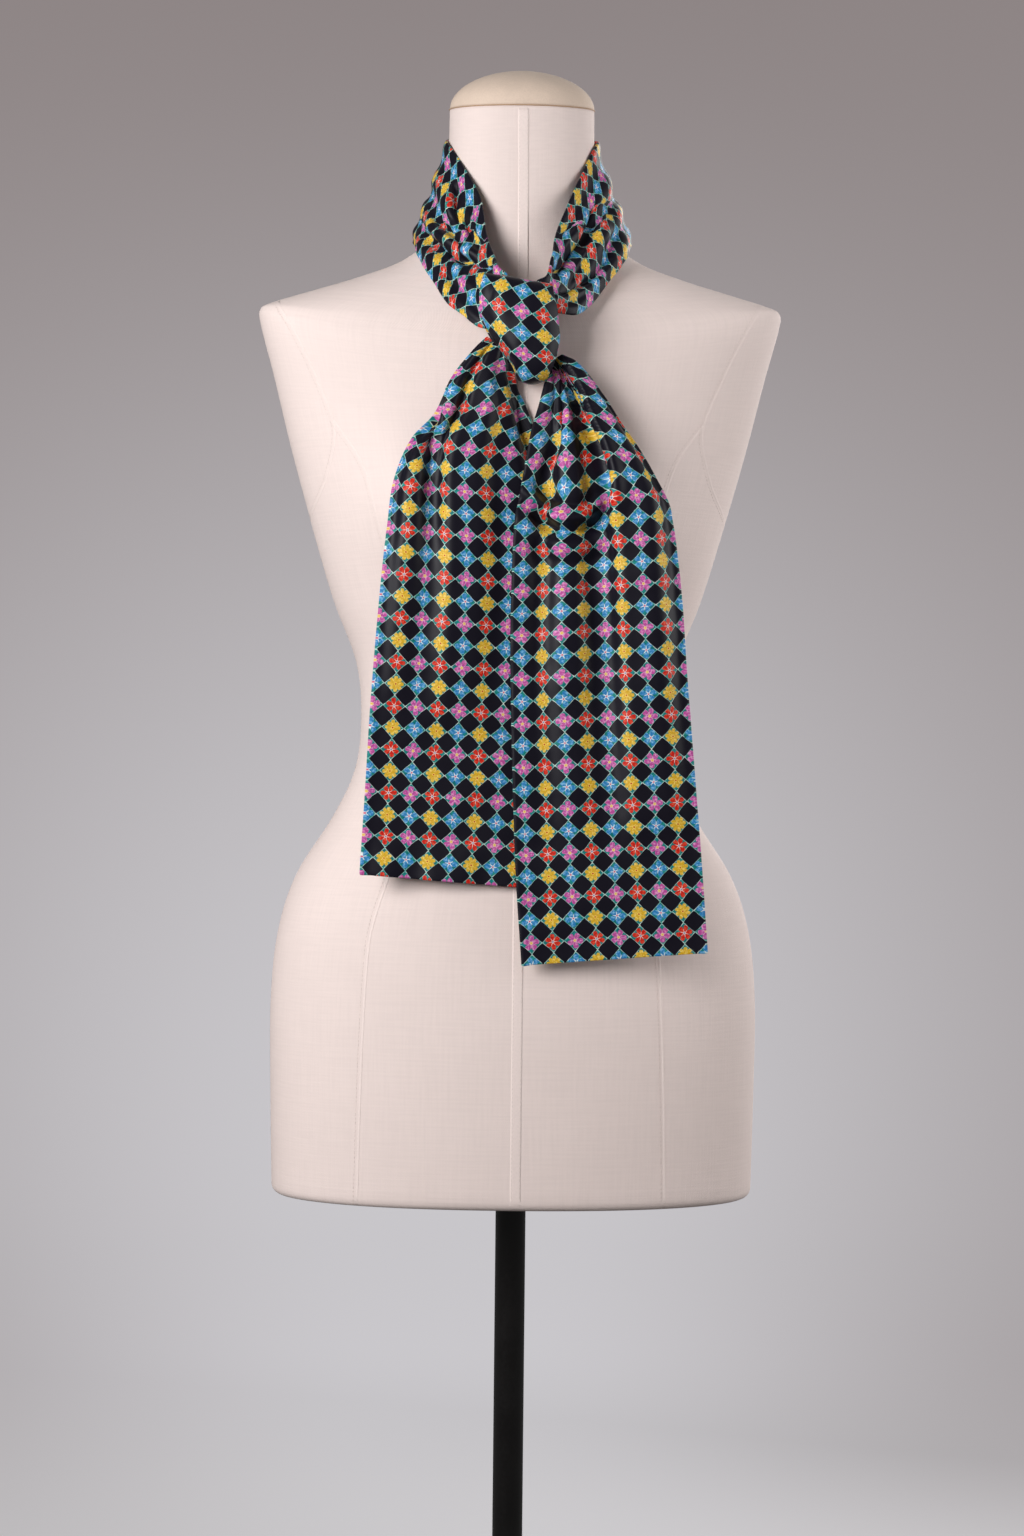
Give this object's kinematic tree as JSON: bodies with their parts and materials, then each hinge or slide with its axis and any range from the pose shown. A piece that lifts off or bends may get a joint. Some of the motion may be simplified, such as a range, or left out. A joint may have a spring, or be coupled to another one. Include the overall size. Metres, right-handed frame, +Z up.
{
  "type": "knotted cravat on a limbless dress form with a stand",
  "caption": "Long silk cravat knotted at the neck of a limbless dress form that stands on a pole with a round foot.",
  "frame": {"origin": "on the floor, in the middle of the round foot, on the pole's axis", "axes": "+Z up along the pole; the form faces -Y; +X is the right side of somebody who looks at its front"},
  "size_m": [0.4, 0.4, 1.6206],
  "materials": {
    "cravat_silk": "printed silk twill, soft sheen",
    "form_cover": "matt pale linen",
    "cap_cover": "matt beige cloth",
    "stand_metal": "black satin paint"
  },
  "bodies": {
    "root": {"cravat_neck_band": "cravat_silk", "cravat_knot": "cravat_silk", "cravat_tail_left": "cravat_silk", "cravat_tail_right": "cravat_silk", "form_torso": "form_cover", "neck_cap": "cap_cover", "pole": "stand_metal", "foot": "stand_metal"}
  },
  "joints": []
}
